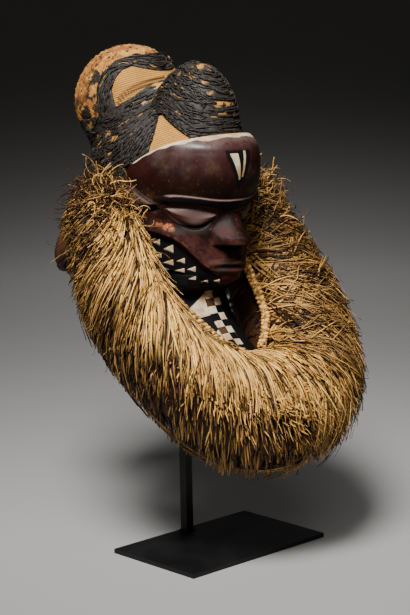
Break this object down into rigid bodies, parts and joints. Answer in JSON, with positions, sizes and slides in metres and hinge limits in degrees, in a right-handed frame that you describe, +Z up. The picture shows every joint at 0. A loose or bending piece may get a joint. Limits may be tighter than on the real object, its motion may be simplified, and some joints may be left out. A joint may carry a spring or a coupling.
{
  "type": "pende mask on stand",
  "caption": "Carved wooden face mask with a checked beard board, a lobed woven cap and a raffia ruff, held up by a steel post on a flat plate.",
  "frame": {"origin": "centre of the underside of the stand's plate", "axes": "+Z up, the face looks along -Y, +X is the mask's own left"},
  "size_m": [0.4089, 0.4536, 0.6625],
  "materials": {
    "stand_steel": "satin",
    "carved_wood": "satin",
    "woven_raffia": "matte",
    "black_raffia": "matte",
    "raw_raffia": "matte"
  },
  "bodies": {
    "root": {"base_plate": "stand_steel", "post": "stand_steel", "mask_face": "carved_wood", "woven_cap": "woven_raffia", "black_fibre": "black_raffia", "ruff_cord_r": "raw_raffia", "ruff_cord_l": "raw_raffia", "raffia_ruff": "raw_raffia"}
  },
  "joints": []
}
